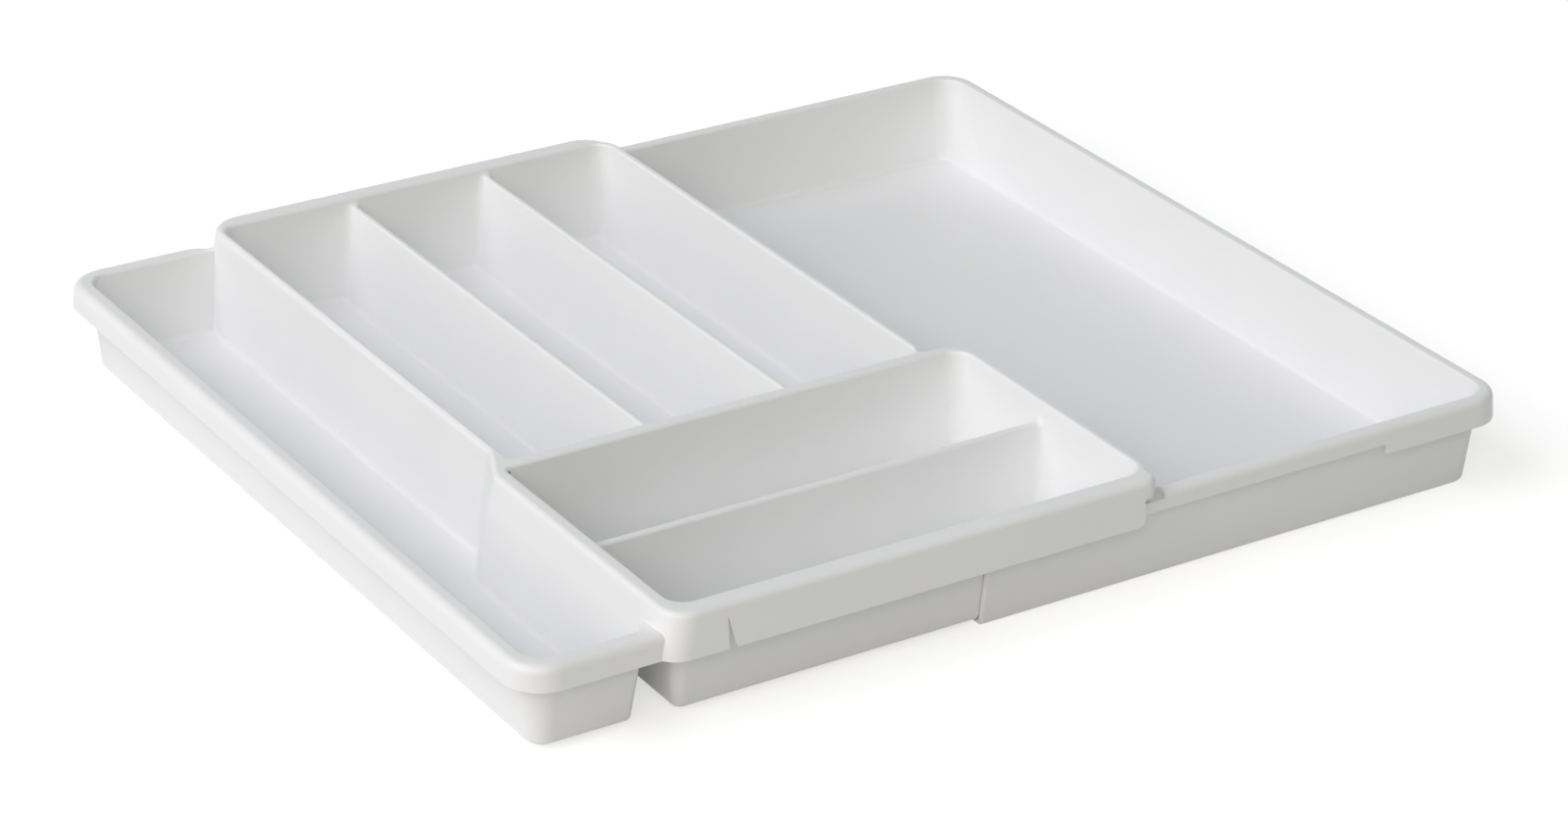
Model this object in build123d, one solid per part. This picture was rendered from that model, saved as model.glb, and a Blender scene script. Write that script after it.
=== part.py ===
from build123d import *
from math import hypot
import os

# Extending cutlery tray: an upper tray and a wider tray that slides out from under it
# Length runs along X, depth along Y, height along Z, all in mm
# The left side is X minimum and the front is Y minimum; the table is at Z = 0

# Overall sizes
extended_length = 445.0       # left lip to right lip with the sliding tray pulled out
channel_depth = 380.0         # front lip to back lip of the channel
draft = 0.1                   # lean of the moulded walls, run over rise
overrun = 6.0                 # how far cutting shapes reach past what they cut

# Heights above the tray's own bottom
raised_height = 45.3
channel_height = 37.7
long_divider_height = 41.8
cross_divider_height = 37.3
lip_bottom_height = 27.8
sliding_height = 40.0

# Moulding thicknesses
wall = 1.75
floor_thickness = 2.0
rim_plate = 1.7
skirt_wall = 1.7
sliding_wall = 1.5
sliding_floor = 1.8
sliding_lip_wall = 1.3

# Clearances between the two trays
slide_clearance = 0.4
rest_clearance = 0.2

# Channel on the left
channel_rim_width = 7.4
channel_lip_corner = 16.0
channel_mouth_corner = 9.0
channel_end_right = 52.4      # where its front and back walls turn into the slanting corner
slant_run = 8.0
slant_depth = 14.0
slant_corner = 3.0

# Left face of the raised part, by height: across the cross box and along the long section
cross_face_foot = 50.7
cross_face_low = 52.8
cross_face_mid = 55.1
cross_face_top = 58.8
cross_face_low_height = 20.0
cross_face_mid_height = 32.0
long_face_top = 66.8
jog_front = 124.0
jog_back = 143.0
jog_corner = 8.0

# Raised part
skirt_overhang = 4.5          # how far the skirt stands out past the channel lip
raised_rim_width = 8.6
long_left_mouth = 70.2
long_right_edge = 256.6
cross_left_mouth = 64.8
cross_right_edge = 273.1
side_wall = 2.3
raised_corner = 15.0
cross_front_corner = 11.0
raised_right_corner = 7.0
foot_corner = 3.6             # plan corners of the raised part's two boxes where they stand
mouth_corner = 8.0
inner_corner = 3.0

# Dividers and the rim between the long section and the cross box
divider_one_right = 133.7
divider_two_right = 197.2
divider_width = 2.8
divider_left_draft = 0.17
cross_rim_back = 132.7
cross_rim_width = 5.6
cross_divider_back = 73.2
cross_divider_width = 3.4

# Roundings
channel_rounding = 3.6
raised_rounding = 2.5
sliding_rounding = 3.0
mouth_rounding = 1.4
crest_rounding = 1.2
floor_rounding = 2.8
foot_rounding = 2.4
sliding_floor_rounding = 2.0

# Slit at the flexible end of the front skirt
slit_left = 81.4
slit_width = 3.4
slit_height = 12.5
skirt_end_corner = 3.0

# Sliding tray
sliding_left_end = 199.0
tall_lip_start = 382.8
short_lip_depth = 7.0
tall_lip_depth = 11.1
sliding_lip_corner = 16.0
sliding_mouth_corner = 10.0
notch_left = 262.0
notch_right = 276.0
notch_back = 3.6
notch_depth = 2.6
end_rounding = 1.1

# Levels and places that follow from the sizes above
upper_base = sliding_floor + rest_clearance
raised_top = upper_base + raised_height
channel_top = upper_base + channel_height
long_divider_top = upper_base + long_divider_height
cross_divider_top = upper_base + cross_divider_height
lip_bottom = upper_base + lip_bottom_height
upper_floor = upper_base + floor_thickness
skirt_rise = raised_top - lip_bottom
lip_rise = channel_top - lip_bottom
skirt_top_front = draft * skirt_rise - skirt_overhang
raised_mouth_front = skirt_top_front + raised_rim_width
raised_mouth_back = channel_depth - raised_mouth_front
channel_mouth_front = draft * lip_rise + channel_rim_width
channel_mouth_back = channel_depth - channel_mouth_front
skirt_lean = draft * skirt_rise - slide_clearance
front_skirt_end = cross_right_edge - raised_right_corner - skirt_lean
back_skirt_end = long_right_edge - raised_corner - skirt_lean
far = extended_length + channel_depth   # past every face, for cutting blocks


def corner_face(points, radii, height):
    """A flat face at one height through the points, each corner rounded by its radius."""
    edge = Polyline(*points, close=True)
    flat = make_face(edge)
    for point, radius in zip(points, radii):
        if radius > 0:
            corners = flat.vertices().sort_by_distance(Vector(point[0], point[1], 0))
            flat = fillet([corners[0]], radius)
    return Pos(0, 0, height) * flat


def box_points(left, right, front, back):
    """Corner points of a rectangle, from front left and anticlockwise."""
    return [(left, front), (right, front), (right, back), (left, back)]


def tapered(points_low, points_high, radii_low, radii_high, low, high):
    """A solid with straight leaning sides between two rounded outlines."""
    bottom = corner_face(points_low, radii_low, low)
    top = corner_face(points_high, radii_high, high)
    return loft([bottom.faces()[0], top.faces()[0]], ruled=True)


def tapered_box(left, right, front, back, corner, low, high, leans, corner_low=None):
    """A box whose mouth is given at its top; each side leans inwards going down.

    The leans are for left, right, front and back; a negative lean flares outwards.
    """
    rise = high - low
    to_left, to_right, to_front, to_back = [lean * rise for lean in leans]
    low_points = box_points(left + to_left, right - to_right, front + to_front, back - to_back)
    high_points = box_points(left, right, front, back)
    if corner_low is None:
        corner_low = corner - draft * rise if leans[0] > 0 else corner + draft * rise
    return tapered(low_points, high_points, [corner_low] * 4, [corner] * 4, low, high)


def flared(hollow, top):
    """The hollow with its mouth opened out by a rounding, and empty space above it."""
    both = hollow + slab(-far, far, -far, far, top, top + overrun)
    levels = both.faces().filter_by(Axis.Z)
    underside = levels.sort_by(lambda face: abs(face.center().Z - top))[0]
    return fillet(underside.inner_wires()[0].edges(), mouth_rounding)


def divided_hollow(points, corners, dividers, along_x):
    """The hollow of a box with dividers left standing in it, all its inner edges rounded."""
    rise = raised_top - upper_floor
    left, front = points[0]
    right, back = points[2]
    lean = draft * rise
    low_points = box_points(left + lean, right - lean, front + lean, back - lean)
    low_corners = [max(corner - lean, inner_corner) for corner in corners]
    shape = tapered(low_points, points, low_corners, corners, upper_floor, raised_top)
    shape = flared(shape, raised_top)
    for divider in dividers:
        shape -= divider_bar(divider, along_x)
    floor_edges = []
    for level in shape.faces().filter_by(Axis.Z):
        if abs(level.center().Z - upper_floor) < rest_clearance:
            floor_edges += level.edges()
    return fillet(floor_edges + divider_corners(shape, along_x), floor_rounding)


def divider_corners(shape, along_x):
    """The upright edges of a hollow where its dividers meet the walls at their ends."""
    crest = cross_divider_top if along_x else long_divider_top
    upright = []
    for edge in shape.edges():
        low, high = sorted([edge.position_at(0).Z, edge.position_at(1).Z])
        stands = abs(low - upper_floor) < rest_clearance
        if stands and low + lip_rise < high < crest:
            upright.append(edge)
    return upright


def cross_face(height):
    """Distance of the channel's right wall face from the left lip, beside the cross box."""
    heights = [upper_base, upper_base + cross_face_low_height,
               upper_base + cross_face_mid_height, raised_top]
    places = [cross_face_foot, cross_face_low, cross_face_mid, cross_face_top]
    for low, high, start, end in zip(heights, heights[1:], places, places[1:]):
        if height <= high:
            return start + (end - start) * (height - low) / (high - low)
    return cross_face_top


def raised_outline(height, inset, right_inset):
    """Plan of the raised part at one height, with the jog in its left side."""
    drop = raised_top - height
    front = skirt_top_front - draft * drop + inset
    back = channel_depth - front
    cross_left = cross_face(height) + inset
    long_left = long_face_top - draft * drop + inset
    cross_right = cross_right_edge - draft * drop - right_inset
    long_right = long_right_edge - draft * drop - right_inset
    step = cross_rim_back - draft * drop - inset
    points = [(cross_left, front), (cross_right, front), (cross_right, step),
              (long_right, step), (long_right, back), (long_left, back),
              (long_left, jog_back), (cross_left, jog_front)]
    radii = [cross_front_corner - inset, raised_right_corner - inset, raised_right_corner - inset,
             inner_corner + inset, raised_corner - inset, raised_corner - inset,
             jog_corner, jog_corner]
    return corner_face(points, radii, height).faces()[0]


def raised_solid(heights, inset=0, right_inset=0):
    """A solid with the plan of the raised part, through the given heights."""
    outlines = [raised_outline(height, inset, right_inset) for height in heights]
    return loft(outlines, ruled=True)


def slab(left, right, front, back, low, high):
    """A plain block between the given faces."""
    return Pos((left + right) / 2, (front + back) / 2, (low + high) / 2) * Box(
        right - left, back - front, high - low)


def raised_shell(raised):
    """Rim plate of the raised part with its hanging skirt, open below."""
    top_loop = raised.faces().sort_by(Axis.Z)[-1].edges()
    shell = fillet(top_loop, raised_rounding)
    shell -= slab(-far, far, -far, far, upper_base - overrun, lip_bottom)
    heights = [upper_base + cross_face_low_height, upper_base + cross_face_mid_height,
               raised_top - rim_plate]
    void = raised_solid(heights, skirt_wall, side_wall)
    shell -= void
    reach = raised_mouth_front + mouth_corner
    shell -= skirt_end(front_skirt_end, -far, reach)
    shell -= skirt_end(back_skirt_end, channel_depth - reach, far)
    return shell, void


def skirt_end(end, front, back):
    """What ends the skirt short of a right corner, where the sliding tray's rim comes out."""
    high = sliding_height + slide_clearance
    space = slab(end, far, front, back, upper_base, high)
    space += slab(end - overrun, far, front, back, upper_base, lip_bottom)
    bend = space.edges().filter_by(Axis.Y).sort_by_distance(Vector(end, back, lip_bottom))
    return fillet([bend[0]], skirt_end_corner)


def channel_block(outwards, low):
    """The channel's hollow up to its rim, or with its walls moved outwards, the body round it.

    It runs on into the raised part, and its front right corner slants away from the raised part.
    """
    outlines = []
    for height in (low, channel_top):
        lean = draft * (channel_top - height)
        side = channel_mouth_front + lean - outwards
        turn = (hypot(slant_run, slant_depth) - slant_run) / slant_depth
        corner_x = channel_end_right - lean + outwards * turn
        end = long_face_top + overrun
        reach = (end - corner_x) * slant_depth / slant_run
        points = [(side, side), (corner_x, side), (end, side + reach),
                  (end, channel_depth - side), (side, channel_depth - side)]
        corner = channel_mouth_corner + outwards - lean
        outlines.append(corner_face(points, [corner, slant_corner, 0, 0, corner], height))
    return loft([outline.faces()[0] for outline in outlines], ruled=True)


def channel_body(raised):
    """Outer shape of the channel's body below its rim."""
    shape = channel_block(wall, upper_base) - Pos(wall, 0, 0) * raised
    foot = shape.faces().sort_by(Axis.Z)[0].edges()
    return fillet(foot, foot_rounding)


def channel_rim(void):
    """Rim plate of the channel with its hanging lip, open below."""
    side = draft * lip_rise
    leans = [-draft, 0, -draft, -draft]
    shell = tapered_box(side, long_left_mouth, side, channel_depth - side,
                        channel_lip_corner - side, lip_bottom, channel_top, leans,
                        channel_lip_corner)
    shell = fillet(shell.faces().sort_by(Axis.Z)[-1].edges().sort_by(Axis.X)[:-1],
                   channel_rounding)
    inside = side + skirt_wall - draft * rim_plate
    corner = channel_lip_corner - side - skirt_wall
    shell -= tapered_box(inside, long_left_mouth + overrun, inside, channel_depth - inside,
                         corner, lip_bottom, channel_top - rim_plate, leans,
                         corner + draft * (lip_rise - rim_plate))
    return shell - void


def channel_cavity(raised):
    """The hollow of the channel, bounded on the right by the raised part."""
    shape = flared(channel_block(0, upper_floor), channel_top) - raised
    floor_edges = shape.faces().sort_by(Axis.Z)[0].edges()
    return fillet(floor_edges, floor_rounding)


def long_hollow():
    """The hollow of the long section, with its two dividers left standing."""
    points = box_points(long_left_mouth, long_right_edge - side_wall, cross_rim_back,
                        raised_mouth_back)
    corners = [inner_corner, inner_corner, mouth_corner, mouth_corner]
    return divided_hollow(points, corners, [divider_one_right, divider_two_right], False)


def cross_hollow():
    """The hollow of the cross box, with its one divider left standing."""
    points = box_points(cross_left_mouth, cross_right_edge - side_wall, raised_mouth_front,
                        cross_rim_back - cross_rim_width)
    corners = [mouth_corner, mouth_corner, mouth_corner, inner_corner]
    return divided_hollow(points, corners, [cross_divider_back], True)


def main_body():
    """Outer shape of the raised part's two boxes, side by side with their walls leaning in."""
    leans = [draft] * 4
    outer_corner = mouth_corner + wall
    long_box = tapered_box(long_left_mouth - wall, long_right_edge, cross_rim_back - wall,
                           raised_mouth_back + wall, outer_corner, upper_base, raised_top,
                           leans, foot_corner)
    cross_box = tapered_box(cross_left_mouth - wall, cross_right_edge,
                            raised_mouth_front - wall,
                            cross_rim_back - cross_rim_width + wall, outer_corner,
                            upper_base, raised_top, leans, foot_corner)
    boxes = []
    for box in (long_box, cross_box):
        foot = box.faces().sort_by(Axis.Z)[0].edges()
        boxes.append(fillet(foot, foot_rounding))
    return boxes


def divider_block(side, along_x, inset, low, drop, reach):
    """A block between a divider's two leaning faces, from low up to a drop below its crest.

    Its faces are moved inwards by the inset, and its ends reach this far past the box's walls.
    """
    top, width, lean = long_divider_top, divider_width, divider_left_draft
    start, end = cross_rim_back, raised_mouth_back
    if along_x:
        top, width, lean = cross_divider_top, cross_divider_width, draft
        start, end = cross_left_mouth, cross_right_edge - side_wall
    sections = []
    for height in (low, top - drop):
        fall = top - height
        slope = draft * (raised_top - height) - reach
        near = side - width - lean * fall + inset
        away = side + draft * fall - inset
        points = box_points(near, away, start + slope, end - slope)
        if along_x:
            points = box_points(start + slope, end - slope, near, away)
        sections.append(corner_face(points, [0] * len(points), height).faces()[0])
    return loft(sections, ruled=True)


def divider_bar(side, along_x):
    """A divider that runs on through the walls at its ends, with its crest rounded."""
    bar = divider_block(side, along_x, 0, upper_floor - overrun, 0, overrun)
    crest = bar.faces().sort_by(Axis.Z)[-1].edges()
    return fillet(crest.filter_by(Axis.X if along_x else Axis.Y), crest_rounding)


def divider_fold(side, along_x):
    """The open fold under a divider, which leaves the wall's thickness on both sides of it."""
    width = cross_divider_width if along_x else divider_width
    lean = draft if along_x else divider_left_draft
    # the fold starts this far below the crest, where the divider is wide enough for it
    drop = (wall + wall + rim_plate - width) / (lean + draft)
    return divider_block(side, along_x, wall, upper_base, drop, 0)


def slit():
    """The wedge slit that sets the flexible end of the front skirt free."""
    foot = lip_bottom - overrun
    lean = slit_width / slit_height
    points = [(slit_left, foot), (slit_left + slit_width + lean * overrun, foot),
              (slit_left, lip_bottom + slit_height)]
    flat = make_face(Polyline(*points, close=True))
    return Pos(0, skirt_top_front + skirt_wall + slide_clearance, 0) * extrude(
        Rot(90, 0, 0) * flat, skirt_overhang + overrun)


def upper_tray():
    """Channel, three long compartments and the cross box, moulded in one piece."""
    heights = [upper_base, upper_base + cross_face_low_height,
               upper_base + cross_face_mid_height, raised_top]
    raised = raised_solid(heights)
    shell, void = raised_shell(raised)
    tray = channel_body(raised) + channel_rim(void)
    tray -= channel_cavity(raised)
    raised_part = shell
    for box in main_body():
        raised_part += box
    for hollow in (long_hollow(), cross_hollow()):
        raised_part -= hollow
    for right_face in (divider_one_right, divider_two_right):
        raised_part -= divider_fold(right_face, False)
    raised_part -= divider_fold(cross_divider_back, True)
    raised_part -= slit()
    tray += raised_part
    return tray


def sliding_shell():
    """Rim plate and folded lip of the sliding tray, deeper round its right end."""
    rise = tall_lip_depth
    side = skirt_wall + slide_clearance - skirt_overhang
    front = side + draft * (sliding_height - lip_bottom)
    low = sliding_height - rise
    leans = [-draft] * 4
    right = extended_length - draft * rise
    left = sliding_left_end - overrun
    corner = sliding_lip_corner - draft * rise
    shell = tapered_box(left, right, front, channel_depth - front, corner, low,
                        sliding_height, leans, sliding_lip_corner)
    top_loop = shell.faces().sort_by(Axis.Z)[-1].edges()
    shell = fillet(top_loop, sliding_rounding)
    inset = sliding_lip_wall
    inner_corner_top = corner - inset
    shell -= tapered_box(left - overrun, right - inset, front + inset,
                         channel_depth - front - inset, inner_corner_top, low,
                         sliding_height - rim_plate, leans,
                         inner_corner_top + draft * (rise - rim_plate))
    shell -= slab(-far, tall_lip_start, -far, far, low - overrun,
                  sliding_height - short_lip_depth)
    return shell


def sliding_box(outwards, low, rounding):
    """The sliding tray's hollow, or with its walls moved outwards, the body round it."""
    drop = raised_top - sliding_height
    front = raised_mouth_front - wall + draft * drop - slide_clearance - outwards
    rim_outside = skirt_wall + slide_clearance - skirt_overhang + draft * (
        sliding_height - lip_bottom)
    rim_width = front + outwards - rim_outside
    right = extended_length - draft * tall_lip_depth - rim_width + outwards
    corner = sliding_mouth_corner + outwards
    rise = sliding_height - low
    leans = [draft] * 4
    shape = tapered_box(sliding_left_end - overrun * 2 - draft * rise, right, front,
                        channel_depth - front, corner, low, sliding_height, leans,
                        corner - draft * rise)
    foot = shape.faces().sort_by(Axis.Z)[0].edges()
    return fillet(foot, rounding)


def sliding_tray():
    """The wider open tray: floor, three walls and a folded rim, open at its left end."""
    open_end = slab(-far, sliding_left_end, -far, far, -far, far)
    body = sliding_box(sliding_wall, 0, foot_rounding) - open_end
    end_edges = body.faces().sort_by(Axis.X)[0].edges().sort_by(Axis.Z)[:-1]
    body = fillet(end_edges, end_rounding)
    hollow = flared(sliding_box(0, sliding_floor, sliding_floor_rounding), sliding_height)
    tray = sliding_shell() - open_end + body
    tray -= hollow
    tray -= slab(notch_left, notch_right, -far, notch_back, sliding_height - notch_depth, far)
    return tray


def main():
    """Builds both trays about the middle of the whole footprint and writes them out."""
    os.makedirs("parts", exist_ok=True)
    centre = Pos(-extended_length / 2, -channel_depth / 2, 0)
    for name, tray in (("upper_tray", upper_tray()), ("sliding_tray", sliding_tray())):
        placed = centre * tray
        print(name, placed.is_valid, len(placed.solids()), round(placed.volume))
        export_step(placed, "parts/" + name + ".step")


if __name__ == "__main__":
    main()
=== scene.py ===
"""Looks of the extending cutlery tray: finishes, studio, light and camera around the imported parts."""
import logging
import math
from dataclasses import dataclass, field
from enum import Enum

import bmesh
import bpy
from mathutils import Matrix, Vector

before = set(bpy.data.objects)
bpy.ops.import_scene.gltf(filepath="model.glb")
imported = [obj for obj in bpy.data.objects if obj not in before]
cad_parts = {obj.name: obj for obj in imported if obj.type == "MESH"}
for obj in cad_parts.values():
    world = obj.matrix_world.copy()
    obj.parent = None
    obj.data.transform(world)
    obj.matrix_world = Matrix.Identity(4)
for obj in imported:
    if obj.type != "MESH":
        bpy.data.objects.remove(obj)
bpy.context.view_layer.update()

MILLIMETRE = 0.001
NODE_COLUMN = 220
NODE_ROW = -260

# Sockets of a Mix node that blends colours. Their names stand for its number sockets too.
MIX_FACTOR = 0
MIX_FIRST_COLOUR = 6
MIX_SECOND_COLOUR = 7
MIXED_COLOUR = 2

log = logging.getLogger("cutlery_tray")


class Backdrop(Enum):
    """Which rays see the plain white backdrop."""

    CAMERA = "Is Camera Ray"
    GLOSSY = "Is Glossy Ray"
    TRANSMISSION = "Is Transmission Ray"


def linear(colour: str) -> tuple[float, float, float, float]:
    """Turns an sRGB hex value into the linear colour that a shader takes.

    Args:
        colour: The colour as "#RRGGBB".

    Returns:
        Red, green, blue and an alpha of 1.
    """
    parts = [int(colour[start:start + 2], 16) / 255 for start in (1, 3, 5)]
    # The sRGB curve has a straight foot and goes on as a power.
    red, green, blue = [
        part / 12.92 if part <= 0.04045 else ((part + 0.055) / 1.055) ** 2.4 for part in parts
    ]
    return red, green, blue, 1.0


def per_metre(millimetres: float) -> float:
    """Returns the scale of a pattern whose features are this many millimetres wide."""
    return 1 / (millimetres * MILLIMETRE)


def add_node(tree: bpy.types.NodeTree, kind: str, place: tuple[float, float],
             settings: dict | None = None, values: dict | None = None,
             links: dict | None = None) -> bpy.types.Node:
    """Adds a node to a tree, with its settings, its socket values and its incoming links.

    Args:
        tree: The tree that gets the node.
        kind: The node's type name.
        place: Where it stands in the tree's layout, in columns and rows.
        settings: The node's own properties.
        values: Values for its input sockets, by name or number.
        links: Output sockets to join to its input sockets, by name or number.

    Returns:
        The new node.
    """
    node = tree.nodes.new(kind)
    node.location = (place[0] * NODE_COLUMN, place[1] * NODE_ROW)
    for name, value in (settings or {}).items():
        setattr(node, name, value)
    for name, value in (values or {}).items():
        node.inputs[name].default_value = value
    for name, socket in (links or {}).items():
        tree.links.new(socket, node.inputs[name])
    return node


def seen_rays(tree: bpy.types.NodeTree) -> bpy.types.NodeSocket:
    """Adds the nodes that tell the rays that see the backdrop from those that only carry light.

    Args:
        tree: The tree that gets the nodes.

    Returns:
        A socket that is 1 for a ray that sees the backdrop and 0 for any other.
    """
    rays = add_node(tree, "ShaderNodeLightPath", (-2, 1))
    total = rays.outputs[Backdrop.CAMERA.value]
    for column, kind in enumerate((Backdrop.GLOSSY, Backdrop.TRANSMISSION)):
        total = add_node(tree, "ShaderNodeMath", (column - 1, 1), settings={"operation": "MAXIMUM"},
                         links={0: total, 1: rays.outputs[kind.value]}).outputs[0]
    return total


def new_material(name: str) -> bpy.types.Material:
    """Makes a material whose node tree is still empty.

    Args:
        name: The material's name.

    Returns:
        The new material.
    """
    material = bpy.data.materials.new(name)
    material.use_nodes = True
    material.node_tree.nodes.clear()
    return material


@dataclass(frozen=True)
class MouldedPolystyrene:
    """White polystyrene, injection moulded in a fine-ground mould.

    It gives the eye an even satin white whose rims catch soft highlights, with the faint clouding
    and the shallow waves that thin moulded walls get as they cool.
    """

    name: str = "moulded_white_polystyrene"
    white: str = "#F9FAFA"
    clouded: str = "#F5F6F7"
    cloud_width_mm: float = 55.0
    cloud_detail: float = 2.0
    cloud_roughness: float = 0.5
    wave_width_mm: float = 28.0
    wave_height_mm: float = 0.05
    grain_width_mm: float = 1.1
    grain_height_mm: float = 0.006
    grain_detail: float = 1.0
    gloss_patch_mm: float = 14.0
    gloss_detail: float = 3.0
    smoothest: float = 0.30
    roughest: float = 0.38
    refraction: float = 1.59
    mirror_level: float = 0.4
    bump_strength: float = 1.0

    def material(self) -> bpy.types.Material:
        """Builds the node material.

        Returns:
            The material, patterned in the object's own coordinates.
        """
        material = new_material(self.name)
        tree = material.node_tree
        place = add_node(tree, "ShaderNodeTexCoord", (0, 0)).outputs["Object"]
        clouds = add_node(
            tree, "ShaderNodeTexNoise", (1, 0),
            values={"Scale": per_metre(self.cloud_width_mm), "Detail": self.cloud_detail,
                    "Roughness": self.cloud_roughness},
            links={"Vector": place})
        colour = add_node(
            tree, "ShaderNodeMix", (2, 0), settings={"data_type": "RGBA"},
            values={MIX_FIRST_COLOUR: linear(self.white), MIX_SECOND_COLOUR: linear(self.clouded)},
            links={MIX_FACTOR: clouds.outputs["Fac"]})
        patches = add_node(
            tree, "ShaderNodeTexNoise", (1, 1),
            values={"Scale": per_metre(self.gloss_patch_mm), "Detail": self.gloss_detail},
            links={"Vector": place})
        gloss = add_node(
            tree, "ShaderNodeMapRange", (2, 1),
            values={"To Min": self.smoothest, "To Max": self.roughest},
            links={"Value": patches.outputs["Fac"]})
        # The real grain is a tenth of a millimetre wide, too fine to show, so it is drawn coarser.
        grain = add_node(
            tree, "ShaderNodeTexNoise", (1, 2),
            values={"Scale": per_metre(self.grain_width_mm), "Detail": self.grain_detail},
            links={"Vector": place})
        waves = add_node(
            tree, "ShaderNodeTexNoise", (1, 3),
            values={"Scale": per_metre(self.wave_width_mm), "Detail": 0.0},
            links={"Vector": place})
        waved = add_node(
            tree, "ShaderNodeBump", (2, 3),
            values={"Strength": self.bump_strength, "Distance": self.wave_height_mm * MILLIMETRE},
            links={"Height": waves.outputs["Fac"]})
        grained = add_node(
            tree, "ShaderNodeBump", (3, 2),
            values={"Strength": self.bump_strength, "Distance": self.grain_height_mm * MILLIMETRE},
            links={"Height": grain.outputs["Fac"], "Normal": waved.outputs["Normal"]})
        surface = add_node(
            tree, "ShaderNodeBsdfPrincipled", (4, 0),
            values={"IOR": self.refraction, "Specular IOR Level": self.mirror_level},
            links={"Base Color": colour.outputs[MIXED_COLOUR],
                   "Roughness": gloss.outputs["Result"], "Normal": grained.outputs["Normal"]})
        add_node(tree, "ShaderNodeOutputMaterial", (5, 0),
                 links={"Surface": surface.outputs["BSDF"]})
        return material


@dataclass(frozen=True)
class PaperFloor:
    """Matt pale paper, pressed smooth.

    It shows as plain white and keeps the soft shadow of what stands on it.
    """

    name: str = "matt_white_paper"
    white: str = "#E0E0E0"
    fibre_width_mm: float = 3.0
    fibre_height_mm: float = 0.1
    fibre_strength: float = 0.1
    lift: float = 0.58

    def material(self) -> bpy.types.Material:
        """Builds the node material.

        Returns:
            The material, lifted to white only for the rays that see the backdrop.
        """
        material = new_material(self.name)
        tree = material.node_tree
        place = add_node(tree, "ShaderNodeTexCoord", (0, 0)).outputs["Object"]
        fibres = add_node(
            tree, "ShaderNodeTexNoise", (1, 0),
            values={"Scale": per_metre(self.fibre_width_mm)}, links={"Vector": place})
        pressed = add_node(
            tree, "ShaderNodeBump", (2, 0),
            values={"Strength": self.fibre_strength, "Distance": self.fibre_height_mm * MILLIMETRE},
            links={"Height": fibres.outputs["Fac"]})
        paper = add_node(
            tree, "ShaderNodeBsdfDiffuse", (3, 0), values={"Color": linear(self.white)},
            links={"Normal": pressed.outputs["Normal"]})
        seen = add_node(
            tree, "ShaderNodeMath", (3, 1), settings={"operation": "MULTIPLY"},
            values={1: self.lift}, links={0: seen_rays(tree)})
        glow = add_node(tree, "ShaderNodeEmission", (4, 1), links={"Strength": seen.outputs[0]})
        both = add_node(tree, "ShaderNodeAddShader", (5, 0),
                        links={0: paper.outputs["BSDF"], 1: glow.outputs["Emission"]})
        add_node(tree, "ShaderNodeOutputMaterial", (6, 0),
                 links={"Surface": both.outputs["Shader"]})
        return material


@dataclass
class MouldedTray:
    """One of the two moulded trays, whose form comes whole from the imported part."""

    node: str

    def build(self) -> bpy.types.Object:
        """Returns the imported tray's own object."""
        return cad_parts[self.node]

    def dress(self, tray: bpy.types.Object, material: bpy.types.Material) -> None:
        """Gives the tray its finish.

        Args:
            tray: The tray's object.
            material: The moulded finish.
        """
        for slot in tray.material_slots:
            slot.material = material


@dataclass
class Lamp:
    """A large soft lamp that looks at the tray."""

    name: str
    place: tuple[float, float, float]
    aim: tuple[float, float, float]
    width: float
    height: float
    watts: float
    tint: str

    def build(self) -> bpy.types.Object:
        """Builds the lamp.

        Returns:
            The lamp's object, turned to its aim.
        """
        data = bpy.data.lights.new(self.name, "AREA")
        data.shape = "RECTANGLE"
        data.size = self.width
        data.size_y = self.height
        data.energy = self.watts
        data.color = linear(self.tint)[:3]
        lamp = bpy.data.objects.new(self.name, data)
        bpy.context.collection.objects.link(lamp)
        lamp.visible_camera = False
        place = Vector(self.place)
        turn = (Vector(self.aim) - place).to_track_quat("-Z", "Y")
        lamp.matrix_world = Matrix.Translation(place) @ turn.to_matrix().to_4x4()
        return lamp


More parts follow.
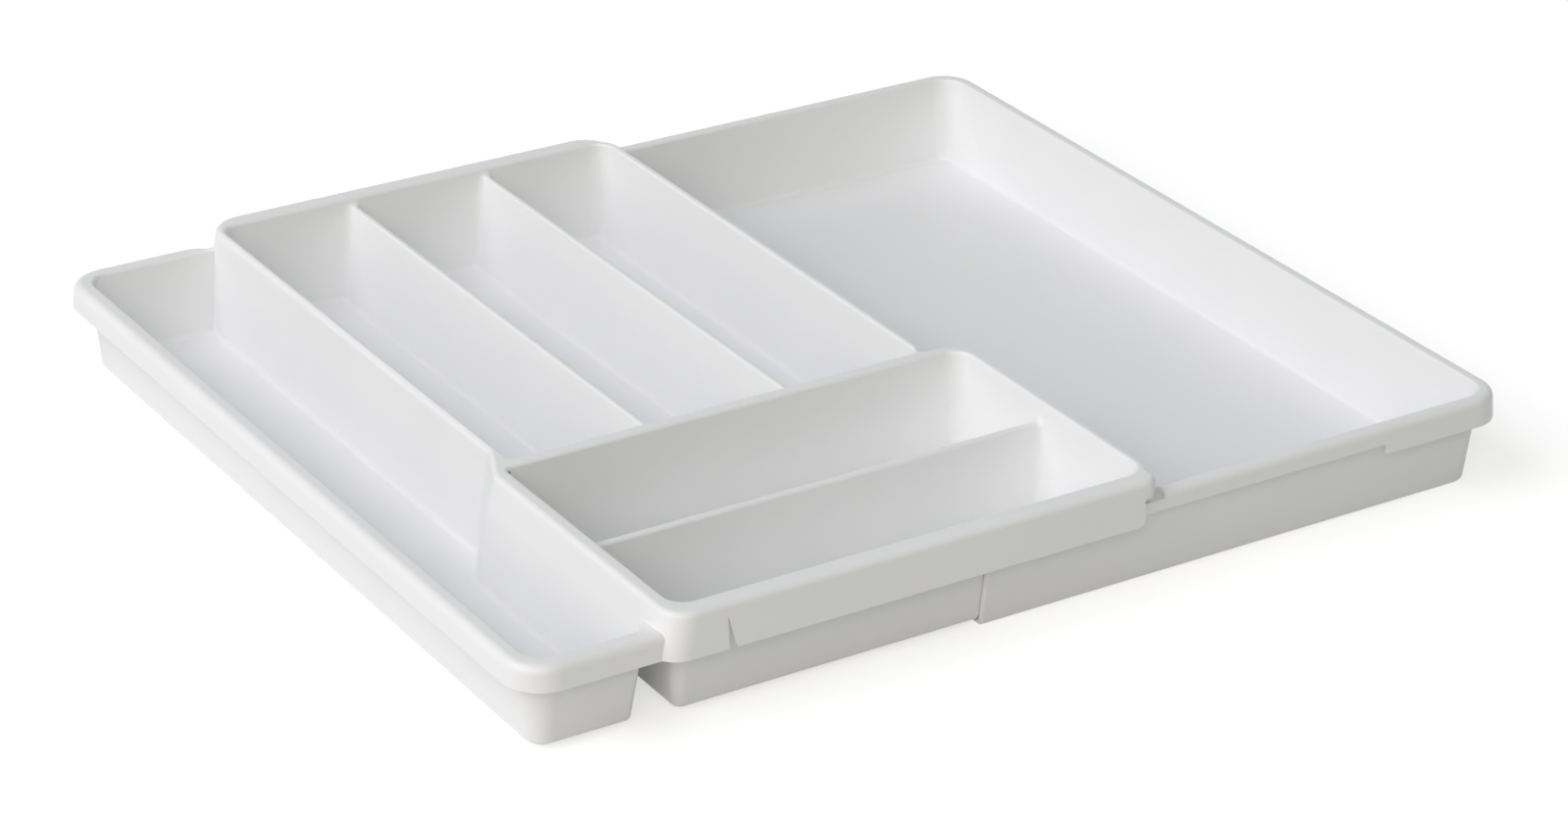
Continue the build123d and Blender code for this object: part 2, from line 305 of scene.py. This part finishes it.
@dataclass
class Studio:
    """The paper floor, the pale surroundings and the large soft lamps, in metres and watts."""

    floor_span: float = 14.0
    floor_drop: float = 0.0002    # keeps the paper clear of the tray's underside
    sky_tint: str = "#F8FEF4"
    sky_strength: float = 0.267
    lamps: list[Lamp] = field(default_factory=lambda: [
        Lamp(name="left_lamp", place=(-4.4, -0.4, 1.8), aim=(0.0, 0.0, 0.02),
             width=3.6, height=2.8, watts=46.9, tint="#FFFBEC"),
        Lamp(name="high_left_lamp", place=(-3.2, 0.6, 3.6), aim=(0.0, 0.0, 0.02),
             width=3.6, height=2.8, watts=88.2, tint="#F0EEFF"),
        Lamp(name="front_left_lamp", place=(-2.8, -3.8, 3.0), aim=(0.0, 0.0, 0.03),
             width=3.2, height=2.4, watts=64.2, tint="#FFF5F1"),
    ])

    def build(self) -> list[bpy.types.Object]:
        """Builds the floor and the lamps.

        Returns:
            The floor and the lamps, in that order.
        """
        mesh = bpy.data.meshes.new("paper_floor")
        sheet = bmesh.new()
        bmesh.ops.create_grid(sheet, x_segments=1, y_segments=1, size=self.floor_span / 2,
                              matrix=Matrix.Translation((0.0, 0.0, -self.floor_drop)))
        sheet.to_mesh(mesh)
        sheet.free()
        floor = bpy.data.objects.new("paper_floor", mesh)
        bpy.context.collection.objects.link(floor)
        floor.data.materials.append(PaperFloor().material())
        return [floor] + [lamp.build() for lamp in self.lamps]

    def light_surroundings(self) -> None:
        """Makes the surroundings white where rays see them and dimmer where they give light."""
        world = bpy.data.worlds.new("pale_surroundings")
        world.use_nodes = True
        tree = world.node_tree
        tree.nodes.clear()
        light = add_node(tree, "ShaderNodeBackground", (1, 1),
                         values={"Color": linear(self.sky_tint), "Strength": self.sky_strength})
        white = add_node(tree, "ShaderNodeBackground", (1, 2),
                         values={"Color": linear("#FFFFFF"), "Strength": 1.0})
        both = add_node(tree, "ShaderNodeMixShader", (2, 0),
                        links={0: seen_rays(tree), 1: light.outputs[0], 2: white.outputs[0]})
        add_node(tree, "ShaderNodeOutputWorld", (3, 0), links={"Surface": both.outputs[0]})
        bpy.context.scene.world = world


@dataclass
class PhotoCamera:
    """The camera at the photograph's viewing angle, with its angles in degrees."""

    place: tuple[float, float, float] = (-0.89403, -1.36729, 0.82016)
    heading: float = 33.3965
    downward: float = 26.4946
    roll: float = 1.5100
    lens_mm: float = 103.95
    sensor_mm: float = 36.0
    farthest: float = 50.0

    def build(self) -> bpy.types.Object:
        """Builds the camera and makes it the scene's own.

        Returns:
            The camera's object.
        """
        data = bpy.data.cameras.new("photo_camera")
        data.lens = self.lens_mm
        data.sensor_width = self.sensor_mm
        data.clip_end = self.farthest
        camera = bpy.data.objects.new("photo_camera", data)
        bpy.context.collection.objects.link(camera)
        camera.matrix_world = (
            Matrix.Translation(self.place)
            @ Matrix.Rotation(-math.radians(self.heading), 4, "Z")
            @ Matrix.Rotation(math.radians(90 - self.downward), 4, "X")
            @ Matrix.Rotation(math.radians(self.roll), 4, "Z"))
        bpy.context.scene.camera = camera
        return camera


def main() -> None:
    """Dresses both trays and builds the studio."""
    logging.basicConfig(level=logging.INFO, format="%(message)s")
    bpy.context.scene.view_settings.view_transform = "Standard"
    plastic = MouldedPolystyrene().material()
    for tray in (MouldedTray("upper_tray"), MouldedTray("sliding_tray")):
        piece = tray.build()
        tray.dress(piece, plastic)
        log.info("%s: %d faces, %s", tray.node, len(piece.data.polygons), plastic.name)
    studio = Studio()
    for piece in studio.build():
        log.info("%s: in place", piece.name)
    studio.light_surroundings()
    log.info("%s: in place", PhotoCamera().build().name)


if __name__ == "__main__":
    main()
